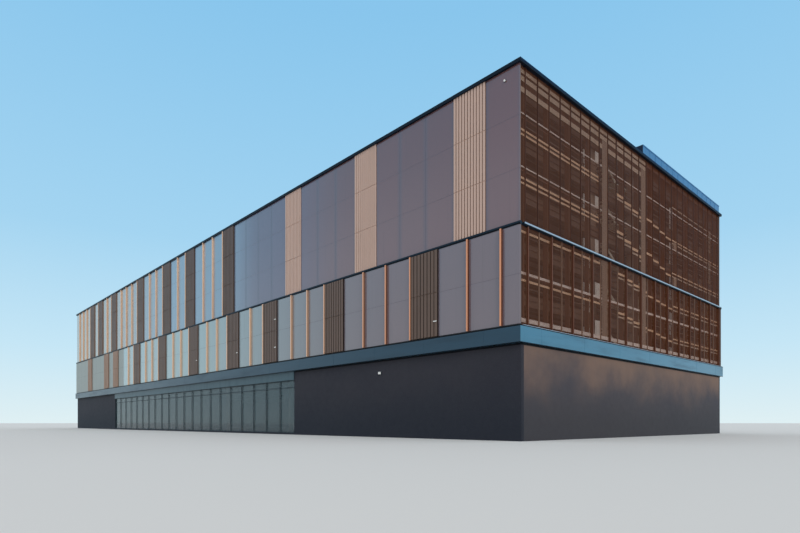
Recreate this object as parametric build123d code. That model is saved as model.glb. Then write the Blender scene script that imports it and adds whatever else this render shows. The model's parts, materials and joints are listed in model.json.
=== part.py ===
"""Multi storey car park over a ground-floor shop, a scale model at 1:10.

One real metre is 100 mm here. +X runs along the long panelled front towards its near corner,
+Y runs from the front into the building and +Z is up. The origin is the centre of the footprint,
at ground level. The front faces -Y and the screened end faces +X.
"""

import os

from build123d import *

# Plan: the outer face of the lower facade band is the reference line on all four sides
MODULE = 250.0
MODULES_LONG = 40
WIDTH = 3400.0
LENGTH = MODULE * MODULES_LONG
HALF_L = LENGTH / 2
HALF_W = WIDTH / 2

# Heights over the ground
FLOOR_TOP = 15.0
FIRST_DECK = 550.0
STOREY = 300.0
DECKS = 5
SILL_RISE = 105.0
FASCIA_HEIGHT = 97.0
MID_BAND_ABOVE_DECK = 72.0
MID_BAND_HEIGHT = 18.0
PARAPET_RISE = 105.0
COPING_HEIGHT = 20.0
PANEL_JOINT_ABOVE_DECK = 95.0

ROOF_DECK = FIRST_DECK + DECKS * STOREY
SILL_TOP = FIRST_DECK + SILL_RISE
FASCIA_BOTTOM = SILL_TOP - FASCIA_HEIGHT
MID_BOTTOM = FIRST_DECK + 2 * STOREY + MID_BAND_ABOVE_DECK
MID_TOP = MID_BOTTOM + MID_BAND_HEIGHT
PARAPET_TOP = ROOF_DECK + PARAPET_RISE
WALL_TOP = PARAPET_TOP - COPING_HEIGHT

# Wall build-up: depths are measured inwards from the reference line
PANEL_T = 4.0
UPPER_SETBACK = 10.0
LINING_DEPTH = 36.0
LONG_WALL_SETBACK = 20.0
SHORT_WALL_SETBACK = 6.0
BASE_WALL_T = 25.0
LONG_WALL_DEPTH = LONG_WALL_SETBACK + BASE_WALL_T
SHORT_WALL_DEPTH = SHORT_WALL_SETBACK + BASE_WALL_T
FASCIA_PROUD = 12.0
COPING_PROUD = 4.0
COPING_DEPTH = 60.0
FLASHING_PROUD = 3.0
LEDGE_PROUD = 6.0
SHEET_GAP = 0.4
FOOT_GAP = 8.0

# Facade pattern, counted in modules from the corner that each long side starts at
PANEL_GAP = 2.0
UPPER_TAN = (1, 5, 9)
UPPER_BROWN = (14, 18, 21, 25, 30, 33, 35)
UPPER_FINS = (15, 16, 17, 19, 20, 22, 23, 24, 26, 27, 28, 29, 31, 32, 34, 36, 37, 38, 39)
LOWER_BROWN = (2.5, 6.5, 10.5, 13.5, 17.5, 21.5, 25.5, 29.5, 31.5, 35.5)
LOWER_FINS_NEAR = (0.5, 1.5, 3.5, 4.5, 5.5, 7.5, 8.5, 9.5, 11.5, 12.5)
LOWER_FINS_FAR = (14.5, 15.5, 16.5, 18.5, 19.5, 20.5, 22.5, 23.5, 24.5, 26.5, 27.5)
LOWER_FINS = LOWER_FINS_NEAR + LOWER_FINS_FAR
FIN_W = 12.0
FIN_PROUD = 20.0
BATTENS = 5
BATTEN_GAP = 14.0
BATTEN_PROUD = 6.0
BROWN_PROUD = 12.0

# Shopfront in the front base wall
SHOP_START = 9.5
SHOP_END = 30.5
SHOP_HEAD = 483.0
TRANSOM_Z = 415.0
MULLION_W = 8.0
SHOP_FRAME_DEPTH = 10.0
SHOP_RAIL_DEPTH = 5.0
GLASS_T = 2.0
HEADER_T = 6.0

# Structure
SLAB_T = 14.0
BEAM_DEPTH = 40.0
BEAM_W = 20.0
EDGE_BEAM_T = 12.0
EDGE_BEAM_RISE = 5.0
EDGE_BEAM_FLANGE = 28.0
EDGE_BEAM_GROOVE = 11.0
EDGE_GROOVE_DEPTH = 7.0
COLUMN = 30.0
COLUMN_MODULES = 5
COLUMN_DEPTH = 50.0
END_COLUMN_DEPTH = 80.0

# Screened ends
POST_DEPTH = 30.0
POST_W = 10.0
POST_FACE = 26.0
FIRST_POST = 75.0
SLATS_PER_MODULE = 2
SLAT_W = 4.0
SLAT_T = 8.0
LOWER_SLAT_FACE = 4.0
UPPER_SLAT_FACE = 14.0
RAIL_H = 4.0
HEAD_RAIL_H = 38.0
SCREEN_FIN_PROUD = 10.0
SCREEN_FIN_W = 6.0

# Guard rails on the deck edges behind the screens
GUARD_DEPTH = 60.0
GUARD_T = 6.0
GUARD_HEIGHT = 95.0
GUARD_RAIL_H = 6.0
GUARD_RAIL_T = 2.0
GUARD_POST_W = 5.0
GUARD_RAILS = 2
GUARD_POST_STEP = 3

# Stair beside the screened right end
PIER_W = 100.0
PIER_T = 35.0
PIER_DEPTH = 75.0
PIER_Y = (-774.0, -132.0)
DOOR_W = 83.0
DOOR_H = 205.0
DOOR_T = 6.0
FAR_DOOR_Y = 618.0
STAIR_W = 100.0
STAIR_START_Y = -550.0
FLIGHT_RUN = 260.0
RISERS = 8
STRINGER_H = 25.0
STRINGER_T = 4.0
TREAD_T = 3.0
LANDING_T = 6.0
HOLE_PAST_LANDING = 87.0

# Rooftop house, flush with the right end
HOUSE_NEAR_Y = -95.0
HOUSE_FAR_Y = 1630.0
HOUSE_DEPTH = 450.0
HOUSE_TOP = 2220.0
HOUSE_WALL = 12.0


def deck_level(index):
    """Height of the top of deck number index, counted from 1."""
    return FIRST_DECK + (index - 1) * STOREY


def beam_bottom(index):
    """Height of the underside of a deck's beams."""
    return deck_level(index) - SLAB_T - BEAM_DEPTH


def block(x0, x1, y0, y1, z0, z1):
    """A box between two corners."""
    centre = ((x0 + x1) / 2, (y0 + y1) / 2, (z0 + z1) / 2)
    return Pos(*centre) * Box(abs(x1 - x0), abs(y1 - y0), abs(z1 - z0))


def prism(points, plane, length):
    """A prism from a closed outline, along the normal of its plane."""
    outline = make_face(plane * Polyline(*points, close=True))
    return extrude(outline, amount=length, dir=plane.z_dir)


def half_turned(shape):
    """The same piece on the opposite side of the building."""
    return Rot(0, 0, 180) * shape


def both_ends(pieces):
    """Pieces of the right end with their copies on the left end."""
    return [*pieces, *[half_turned(piece) for piece in pieces]]


def save(name, pieces):
    """Writes one node."""
    shape = pieces[0] if len(pieces) == 1 else Compound(children=list(pieces))
    shape.label = name
    export_step(shape, f"parts/{name}.step")


# Long sides

def module_x(k):
    """Place of facade joint k along the front, counted from the near corner."""
    return HALF_L - k * MODULE


def long_lining():
    """Wall behind the front panels, thicker behind the lower band and ended behind the screens."""
    y_in = -HALF_W + LINING_DEPTH
    y_low = -HALF_W + PANEL_T
    y_up = y_low + UPPER_SETBACK
    x_low = HALF_L - LOWER_SLAT_FACE - SLAT_T
    x_up = HALF_L - UPPER_SLAT_FACE - SLAT_T
    lower = block(-x_low, x_low, y_low, y_in, SILL_TOP, MID_BOTTOM)
    return lower + block(-x_up, x_up, y_up, y_in, MID_BOTTOM, WALL_TOP)


def band_rows(upper):
    """Bottom and top of each row of panels in a band."""
    joint = FIRST_DECK + PANEL_JOINT_ABOVE_DECK
    if upper:
        ends = [MID_TOP, joint + 3 * STOREY, joint + 4 * STOREY, WALL_TOP]
    else:
        ends = [SILL_TOP + FOOT_GAP, joint + STOREY, MID_BOTTOM]
    return list(zip(ends[:-1], ends[1:]))


def band_face(upper):
    """The plane of a band's outer face on the front, and the end of its panels."""
    setback = UPPER_SETBACK if upper else 0.0
    return -HALF_W + setback, HALF_L - setback


def smooth_panel(k0, k1, upper, row):
    """One flat cassette from joint k0 to joint k1."""
    y_face, x_end = band_face(upper)
    x_high = min(module_x(k0), x_end) - PANEL_GAP / 2
    x_low = max(module_x(k1), -x_end) + PANEL_GAP / 2
    z0, z1 = row
    return block(x_low, x_high, y_face, y_face + PANEL_T, z0 + PANEL_GAP / 2, z1 - PANEL_GAP / 2)


def smooth_panels(upper):
    """All flat cassettes of a band."""
    if upper:
        skipped = UPPER_TAN + UPPER_BROWN
        spans = [(k, k + 1) for k in range(MODULES_LONG) if k not in skipped]
    else:
        starts = [0] + [k + 0.5 for k in range(MODULES_LONG)]
        stops = starts[1:] + [MODULES_LONG]
        spans = [(a, b) for a, b in zip(starts, stops) if a not in LOWER_BROWN]
    return [smooth_panel(a, b, upper, row) for a, b in spans for row in band_rows(upper)]


def fin_clearance(k, upper):
    """What a panel gives way to a fin on its joint."""
    joints = UPPER_FINS if upper else LOWER_FINS
    return PANEL_GAP / 2 + (FIN_W / 2 if k in joints else 0.0)


def batten_panel(k, upper, proud):
    """A ribbed panel over the whole height of its band."""
    y_face, _ = band_face(upper)
    y_groove = y_face - proud + BATTEN_PROUD
    rows = band_rows(upper)
    z0, z1 = rows[0][0], rows[-1][1]
    x0 = module_x(k + 1) + fin_clearance(k + 1, upper)
    x1 = module_x(k) - fin_clearance(k, upper)
    step = (x1 - x0 + BATTEN_GAP) / BATTENS
    points = [(x1, y_face + PANEL_T), (x0, y_face + PANEL_T)]
    for n in range(BATTENS):
        left = x0 + n * step
        right = left + step - BATTEN_GAP
        if n > 0:
            points.append((left, y_groove))
        points += [(left, y_face - proud), (right, y_face - proud)]
        if n < BATTENS - 1:
            points.append((right, y_groove))
    return prism(points, Plane.XY.offset(z0), z1 - z0)


def tan_panels():
    """The light ribbed panels of the upper band."""
    return [batten_panel(k, True, BATTEN_PROUD) for k in UPPER_TAN]


def brown_panels():
    """The dark ribbed panels of both bands."""
    upper = [batten_panel(k, True, BROWN_PROUD) for k in UPPER_BROWN]
    return upper + [batten_panel(k, False, BROWN_PROUD) for k in LOWER_BROWN]


def fin(k, upper):
    """A copper fin on joint k over the whole height of its band."""
    y_face, _ = band_face(upper)
    rows = band_rows(upper)
    x = module_x(k)
    return block(x - FIN_W / 2, x + FIN_W / 2, y_face - FIN_PROUD, y_face, rows[0][0], rows[-1][1])


def fins():
    """All copper fins of a long side."""
    return [fin(k, True) for k in UPPER_FINS] + [fin(k, False) for k in LOWER_FINS]


# Ground floor

def shop_span():
    """Left and right edge of the shopfront."""
    return module_x(SHOP_END), module_x(SHOP_START)


def long_base_wall():
    """Plastered wall under a long side."""
    x = HALF_L - SHORT_WALL_SETBACK
    return block(-x, x, -HALF_W + LONG_WALL_SETBACK, -HALF_W + LONG_WALL_DEPTH, 0, SILL_TOP)


def front_base_wall():
    """The front wall with the shopfront cut through it."""
    x0, x1 = shop_span()
    hole = block(x0, x1, -HALF_W, -HALF_W + LONG_WALL_DEPTH + PANEL_T, FLOOR_TOP, SHOP_HEAD)
    return long_base_wall() - hole


def short_base_wall():
    """Plastered wall under the right end."""
    x1 = HALF_L - SHORT_WALL_SETBACK
    y = HALF_W - LONG_WALL_DEPTH
    return block(x1 - BASE_WALL_T, x1, -y, y, 0, SILL_TOP)


def ground_floor():
    """Floor slab of the shop, between the base walls."""
    x = HALF_L - SHORT_WALL_DEPTH
    y = HALF_W - LONG_WALL_DEPTH
    return block(-x, x, -y, y, 0, FLOOR_TOP)


def shopfront_frame():
    """Upright mullions in the shopfront opening, with three level rails behind them."""
    x0, x1 = shop_span()
    y0 = -HALF_W + LONG_WALL_SETBACK + SHOP_FRAME_DEPTH / 2
    y1 = y0 + SHOP_FRAME_DEPTH - SHOP_RAIL_DEPTH
    y2 = y0 + SHOP_FRAME_DEPTH
    heights = (FLOOR_TOP, TRANSOM_Z, SHOP_HEAD - MULLION_W)
    bars = [block(x0, x1, y1, y2, z, z + MULLION_W) for z in heights]
    bays = round((x1 - x0) / MODULE)
    pitch = (x1 - x0 - MULLION_W) / bays
    for n in range(bays + 1):
        x = x0 + n * pitch
        bars.append(block(x, x + MULLION_W, y0, y1, FLOOR_TOP, SHOP_HEAD))
    return bars


def shopfront_glass():
    """One sheet of glass behind the shopfront frame."""
    x0, x1 = shop_span()
    y = -HALF_W + LONG_WALL_SETBACK + 1.5 * SHOP_FRAME_DEPTH
    return block(x0, x1, y, y + GLASS_T, FLOOR_TOP, SHOP_HEAD)


def shopfront_header():
    """Metal header between the windows and the fascia."""
    x0, x1 = shop_span()
    y = -HALF_W + LONG_WALL_SETBACK
    return block(x0, x1, y - HEADER_T, y, SHOP_HEAD, FASCIA_BOTTOM)


# Bands round the building

def ring(z0, z1, out_long, in_long, out_short, in_short):
    """Four straight lengths round the building, the short ones between the long ones."""
    x = HALF_L + out_short
    long_side = block(-x, x, -HALF_W - out_long, -HALF_W + in_long, z0, z1)
    y = HALF_W - in_long - SHEET_GAP
    short_side = block(HALF_L - in_short, x, -y, y, z0, z1)
    return both_ends([long_side, short_side])


def fascia_band():
    """Steel-blue fascia between the ground floor and the decks."""
    z0, z1 = FASCIA_BOTTOM, SILL_TOP
    return ring(z0, z1, FASCIA_PROUD, LONG_WALL_SETBACK, FASCIA_PROUD, SHORT_WALL_SETBACK)


def mid_band():
    """Flashings on the long sides and ledges on the ends, between the two bands."""
    x = HALF_L + FLASHING_PROUD
    depth = UPPER_SETBACK + PANEL_T
    flashing = block(-x, x, -HALF_W - FLASHING_PROUD, -HALF_W + depth, MID_BOTTOM, MID_TOP)
    y = HALF_W - LINING_DEPTH
    ledge = block(HALF_L - POST_FACE, HALF_L + LEDGE_PROUD, -y, y, MID_BOTTOM, MID_TOP)
    return both_ends([flashing, ledge])


def parapet_coping():
    """Dark coping on the parapet."""
    return ring(WALL_TOP, PARAPET_TOP, COPING_PROUD, COPING_DEPTH, COPING_PROUD, COPING_DEPTH)


# Structure

def column_lines():
    """Places of the column rows along the building."""
    step = COLUMN_MODULES * MODULE
    reach = MODULES_LONG // COLUMN_MODULES // 2 - 1
    inner = [n * step for n in range(-reach, reach + 1)]
    end = HALF_L - END_COLUMN_DEPTH - COLUMN / 2
    return [-end, *inner, end]


def columns():
    """Columns on every storey, from the floor to the underside of the beams."""
    edge = HALF_W - COLUMN_DEPTH - COLUMN / 2
    half = COLUMN / 2
    floors = [FLOOR_TOP] + [deck_level(index) for index in range(1, DECKS + 1)]
    heads = [beam_bottom(index) for index in range(1, DECKS + 2)]
    return [
        block(x - half, x + half, y - half, y + half, z0, z1)
        for x in column_lines()
        for y in (-edge, 0.0, edge)
        for z0, z1 in zip(floors, heads)
    ]


def stair_x():
    """Inner and outer edge of the stair."""
    outer = HALF_L - PIER_DEPTH - PIER_T
    return outer - STAIR_W, outer


def stair_hole(level):
    """The gap in a deck that the stair from below comes up through."""
    x0, x1 = stair_x()
    y1 = second_flight_y() + HOLE_PAST_LANDING
    return block(x0, x1, STAIR_START_Y, y1, level - 2 * SLAB_T, level + SLAB_T)


def cross_beams():
    """Beams under every deck, laid across each line of columns."""
    half = BEAM_W / 2
    y = HALF_W - COLUMN_DEPTH
    return [
        block(x - half, x + half, -y, y, beam_bottom(index), deck_level(index) - SLAB_T)
        for index in range(1, DECKS + 2)
        for x in column_lines()
    ]


def edge_beams():
    """Grooved beams that close the deck ends and carry the screen posts, on the right end."""
    x1 = HALF_L - POST_FACE - POST_DEPTH
    x0 = x1 - EDGE_BEAM_T
    xg = x1 - EDGE_GROOVE_DEPTH
    y = HALF_W - LINING_DEPTH
    beams = []
    for index in range(2, DECKS + 2):
        z1 = deck_level(index) + EDGE_BEAM_RISE
        z2 = z1 - EDGE_BEAM_FLANGE
        z3 = z2 - EDGE_BEAM_GROOVE
        z4 = z3 - EDGE_BEAM_FLANGE
        outline = [(x0, z1), (x1, z1), (x1, z2), (xg, z2), (xg, z3), (x1, z3), (x1, z4), (x0, z4)]
        beams.append(prism(outline, Plane.XZ.offset(-y), 2 * y))
    return beams


def deck_reach():
    """Half the length of a deck slab between its edge beams."""
    return HALF_L - POST_FACE - POST_DEPTH - EDGE_BEAM_T


def deck(index):
    """One deck slab, cut for the stair."""
    level = deck_level(index)
    inside_wall = index == 1
    x = HALF_L - SHORT_WALL_DEPTH if inside_wall else deck_reach()
    y = HALF_W - (LONG_WALL_DEPTH if inside_wall else LINING_DEPTH)
    slab = block(-x, x, -y, y, level - SLAB_T, level)
    return slab if inside_wall else slab - stair_hole(level)


# Screened ends

def post_places():
    """Places of the posts and fins across an end."""
    span = WIDTH - 2 * FIRST_POST
    count = round(span / MODULE)
    return [-span / 2 + n * span / count for n in range(count + 1)]


def screen_posts():
    """Posts of the right end, from the sill to the coping."""
    x1 = HALF_L - POST_FACE
    return [
        block(x1 - POST_DEPTH, x1, y - POST_W / 2, y + POST_W / 2, SILL_TOP, WALL_TOP)
        for y in post_places()
    ]


def slats(upper):
    """Upright slats of one band of the right end."""
    face = UPPER_SLAT_FACE if upper else LOWER_SLAT_FACE
    rows = band_rows(upper)
    z0, z1 = rows[0][0], rows[-1][1]
    x1 = HALF_L - face
    places = post_places()
    step = (places[1] - places[0]) / SLATS_PER_MODULE
    count = (len(places) - 1) * SLATS_PER_MODULE + 1
    return [
        block(x1 - SLAT_T, x1, y - SLAT_W / 2, y + SLAT_W / 2, z0, z1)
        for y in [places[0] + n * step for n in range(count)]
    ]


def screen_rails():
    """Level rails between the posts and the slats of the right end."""
    y = HALF_W - LINING_DEPTH
    x0 = HALF_L - POST_FACE
    rails = []
    for upper in (False, True):
        face = UPPER_SLAT_FACE if upper else LOWER_SLAT_FACE
        rows = band_rows(upper)
        x1 = HALF_L - face - SLAT_T
        heights = [rows[0][0]] + [z0 - RAIL_H / 2 for z0, _ in rows[1:]]
        rails += [block(x0, x1, -y, y, z, z + RAIL_H) for z in heights]
        head = HEAD_RAIL_H if upper else RAIL_H
        rails.append(block(x0, x1, -y, y, rows[-1][1] - head, rows[-1][1]))
    return rails


def screen_fins():
    """Upright fins on the lower band of the right end."""
    x0 = HALF_L - LOWER_SLAT_FACE
    half = SCREEN_FIN_W / 2
    z0 = SILL_TOP + FOOT_GAP
    return [
        block(x0, x0 + SCREEN_FIN_PROUD, y - half, y + half, z0, MID_BOTTOM)
        for y in post_places()
    ]


def guard_rails():
    """Guard rails on the deck edges of the right end, with level rails in front of their posts."""
    x1 = HALF_L - GUARD_DEPTH
    x0 = x1 - GUARD_RAIL_T
    y = HALF_W - COLUMN_DEPTH
    half = GUARD_POST_W / 2
    pieces = []
    for index in range(1, DECKS + 1):
        foot = deck_level(index) + (EDGE_BEAM_RISE if index > 1 else 0.0)
        head = deck_level(index) + GUARD_HEIGHT
        for n in range(GUARD_RAILS):
            top = head - n * GUARD_HEIGHT / GUARD_RAILS
            pieces.append(block(x0, x1, -y, y, top - GUARD_RAIL_H, top))
        for place in post_places()[::GUARD_POST_STEP]:
            pieces.append(block(x1 - GUARD_T, x0, place - half, place + half, foot, head))
    return pieces


# Stair

def second_flight_y():
    """Start of the lower flight, at the end of the landing."""
    return PIER_Y[1] + PIER_W


def flight_tops():
    """Start and height of each flight, from its upper end."""
    starts = []
    for index in range(2, DECKS + 2):
        level = deck_level(index)
        starts += [(STAIR_START_Y, level), (second_flight_y(), level - STOREY / 2)]
    return starts


def stringer(y0, z0, x0):
    """Inclined side plate of a flight, with a level foot."""
    rise = STOREY / 2
    foot = STRINGER_H * FLIGHT_RUN / rise
    outline = (
        (y0, z0),
        (y0 + FLIGHT_RUN, z0 - rise),
        (y0 + FLIGHT_RUN - foot, z0 - rise),
        (y0, z0 - STRINGER_H),
    )
    return prism(outline, Plane.YZ.offset(x0), STRINGER_T)


def stair_stringers():
    """Both stringers of every flight."""
    x0, x1 = stair_x()
    pairs = []
    for y0, z0 in flight_tops():
        pairs += [stringer(y0, z0, x0), stringer(y0, z0, x1 - STRINGER_T)]
    return pairs


def stair_treads():
    """Treads between the stringers of every flight."""
    x0, x1 = stair_x()
    riser = STOREY / 2 / RISERS
    going = FLIGHT_RUN / RISERS
    treads = []
    for y0, z0 in flight_tops():
        for n in range(1, RISERS):
            top = z0 - n * riser
            y = y0 + (n - 1) * going
            treads.append(block(x0 + STRINGER_T, x1 - STRINGER_T, y, y + going, top - TREAD_T, top))
    return treads


def stair_landings():
    """Half-way landings, held by the second pier."""
    x0, x1 = stair_x()
    foot = STRINGER_H * FLIGHT_RUN / (STOREY / 2)
    y0 = STAIR_START_Y + FLIGHT_RUN - foot
    y1 = second_flight_y()
    tops = [deck_level(index) - STOREY / 2 for index in range(2, DECKS + 2)]
    return [block(x0, x1, y0, y1, top - LANDING_T, top) for top in tops]


def core_piers():
    """Two wall piers on each storey, from deck to deck."""
    x1 = HALF_L - PIER_DEPTH
    return [
        block(x1 - PIER_T, x1, y, y + PIER_W, deck_level(index), beam_bottom(index + 1))
        for index in range(1, DECKS + 1)
        for y in PIER_Y
    ]


def service_doors():
    """White door leaves on each storey, beside the first pier and beyond the stair."""
    x1 = HALF_L - PIER_DEPTH
    return [
        block(x1 - DOOR_T, x1, y, y + DOOR_W, deck_level(index), deck_level(index) + DOOR_H)
        for index in range(1, DECKS + 1)
        for y in (PIER_Y[0] - DOOR_W, FAR_DOOR_Y)
    ]


def rooftop_house():
    """Low house on the roof deck, flush with the right end above the coping."""
    x1 = HALF_L
    x0 = x1 - HOUSE_DEPTH
    inner = deck_reach()
    y0, y1 = HOUSE_NEAR_Y, HOUSE_FAR_Y
    outside = block(x0, inner, y0, y1, ROOF_DECK, PARAPET_TOP)
    outside += block(x0, x1, y0, y1, PARAPET_TOP, HOUSE_TOP)
    t = HOUSE_WALL
    room = block(x0 + t, inner - t, y0 + t, y1 - t, ROOF_DECK, PARAPET_TOP)
    room += block(x0 + t, x1 - t, y0 + t, y1 - t, PARAPET_TOP + t, HOUSE_TOP - t)
    room += block(x0 + t, inner - t, y0 + t, y1 - t, PARAPET_TOP, PARAPET_TOP + t)
    return outside - room


def main():
    """Builds every node and writes it."""
    os.makedirs("parts", exist_ok=True)
    save("ground_floor", [ground_floor()])
    save("front_base_wall", [front_base_wall()])
    save("back_base_wall", [half_turned(long_base_wall())])
    save("right_base_wall", [short_base_wall()])
    save("left_base_wall", [half_turned(short_base_wall())])
    save("shopfront_frame", shopfront_frame())
    save("shopfront_glass", [shopfront_glass()])
    save("shopfront_header", [shopfront_header()])
    save("fascia_band", fascia_band())
    save("mid_band", mid_band())
    save("parapet_coping", parapet_coping())
    save("columns", columns())
    save("deck_beams", cross_beams() + both_ends(edge_beams()))
    for index in range(1, DECKS + 1):
        save(f"deck_{index}", [deck(index)])
    save("roof_deck", [deck(DECKS + 1)])
    front = {
        "wall_lining": [long_lining()],
        "upper_panels": smooth_panels(True),
        "lower_panels": smooth_panels(False),
        "tan_panels": tan_panels(),
        "brown_panels": brown_panels(),
        "copper_fins": fins(),
    }
    for name, pieces in front.items():
        save(f"front_{name}", pieces)
        save(f"back_{name}", [half_turned(piece) for piece in pieces])
    save("screen_posts", both_ends(screen_posts()))
    save("screen_rails", both_ends(screen_rails()))
    save("screen_fins", both_ends(screen_fins()))
    slat_pieces = slats(False) + slats(True)
    save("right_screen_slats", slat_pieces)
    save("left_screen_slats", [half_turned(piece) for piece in slat_pieces])
    guards = guard_rails()
    save("right_guard_rails", guards)
    save("left_guard_rails", [half_turned(guard) for guard in guards])
    save("stair_stringers", stair_stringers())
    save("stair_treads", stair_treads())
    save("stair_landings", stair_landings())
    save("core_piers", core_piers())
    save("service_doors", service_doors())
    save("rooftop_house", [rooftop_house()])


main()
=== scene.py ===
"""Looks of the multi storey car park: finishes, fine facade work, light and camera.

Everything is in metres, in the frame of the model: +X runs along the long front towards its
near corner, -Y points out of the front and +Z is up. The model is 1:10, so 0.1 is a real metre.
"""

from __future__ import annotations

import json
import logging
import math
from collections.abc import Iterable, Mapping, Sequence
from dataclasses import dataclass
from enum import Enum
from functools import cache

import bmesh
import bpy
from mathutils import Matrix, Vector

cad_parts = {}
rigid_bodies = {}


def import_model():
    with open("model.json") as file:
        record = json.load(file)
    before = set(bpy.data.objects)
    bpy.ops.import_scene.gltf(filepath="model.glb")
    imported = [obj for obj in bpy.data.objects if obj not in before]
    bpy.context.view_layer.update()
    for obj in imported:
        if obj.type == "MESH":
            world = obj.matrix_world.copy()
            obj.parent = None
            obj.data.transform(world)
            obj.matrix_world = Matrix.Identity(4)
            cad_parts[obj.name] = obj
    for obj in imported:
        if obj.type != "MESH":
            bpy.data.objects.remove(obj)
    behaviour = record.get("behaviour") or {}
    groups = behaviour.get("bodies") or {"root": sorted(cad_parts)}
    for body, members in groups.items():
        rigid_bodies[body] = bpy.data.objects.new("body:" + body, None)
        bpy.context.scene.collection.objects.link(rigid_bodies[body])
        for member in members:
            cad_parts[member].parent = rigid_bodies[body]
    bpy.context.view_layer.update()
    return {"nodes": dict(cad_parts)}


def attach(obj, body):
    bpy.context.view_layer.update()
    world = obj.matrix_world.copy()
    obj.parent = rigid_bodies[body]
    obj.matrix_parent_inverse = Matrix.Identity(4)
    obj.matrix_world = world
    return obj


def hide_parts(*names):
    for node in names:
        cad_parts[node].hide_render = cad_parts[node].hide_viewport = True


LOG = logging.getLogger("car_park")

Colour = tuple[float, float, float]
Point = tuple[float, float, float]
Box = tuple[Point, Point]


# Shader maths


@dataclass(frozen=True)
class Term:
    """A number that varies over a surface, with the operators that shader maths needs."""

    graph: Graph
    socket: bpy.types.NodeSocket

    def maths(self, operation: str, *values: Term | float) -> Term:
        """The result of one Math node on these values."""
        made = self.graph.node("ShaderNodeMath", {"operation": operation}, dict(enumerate(values)))
        return Term(self.graph, made.outputs[0])

    def __add__(self, other: Term | float) -> Term:
        """Sum."""
        return self.maths("ADD", self, other)

    def __radd__(self, other: float) -> Term:
        """Sum with a number on the left."""
        return self.maths("ADD", other, self)

    def __sub__(self, other: Term | float) -> Term:
        """Difference."""
        return self.maths("SUBTRACT", self, other)

    def __rsub__(self, other: float) -> Term:
        """Difference from a number on the left."""
        return self.maths("SUBTRACT", other, self)

    def __mul__(self, other: Term | float) -> Term:
        """Product."""
        return self.maths("MULTIPLY", self, other)

    def __rmul__(self, other: float) -> Term:
        """Product with a number on the left."""
        return self.maths("MULTIPLY", other, self)

    def __truediv__(self, other: Term | float) -> Term:
        """Quotient."""
        return self.maths("DIVIDE", self, other)

    def floor(self) -> Term:
        """The whole number below."""
        return self.maths("FLOOR", self)

    def fraction(self) -> Term:
        """What is left over the whole number below."""
        return self.maths("FRACT", self)

    def absolute(self) -> Term:
        """Distance from zero."""
        return self.maths("ABSOLUTE", self)

    def sign(self) -> Term:
        """1 above zero and -1 below it."""
        return self.maths("SIGN", self)

    def step_up(self, low: float, high: float) -> Term:
        """A smooth step.

        Args:
            low: where the result is 0.
            high: where the result is 1, which may be under low.

        Returns:
            A number from 0 to 1.
        """
        made = self.graph.node(
            "ShaderNodeMapRange",
            {"interpolation_type": "SMOOTHSTEP"},
            {"Value": self, "From Min": low, "From Max": high},
        )
        return Term(self.graph, made.outputs["Result"])


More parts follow.
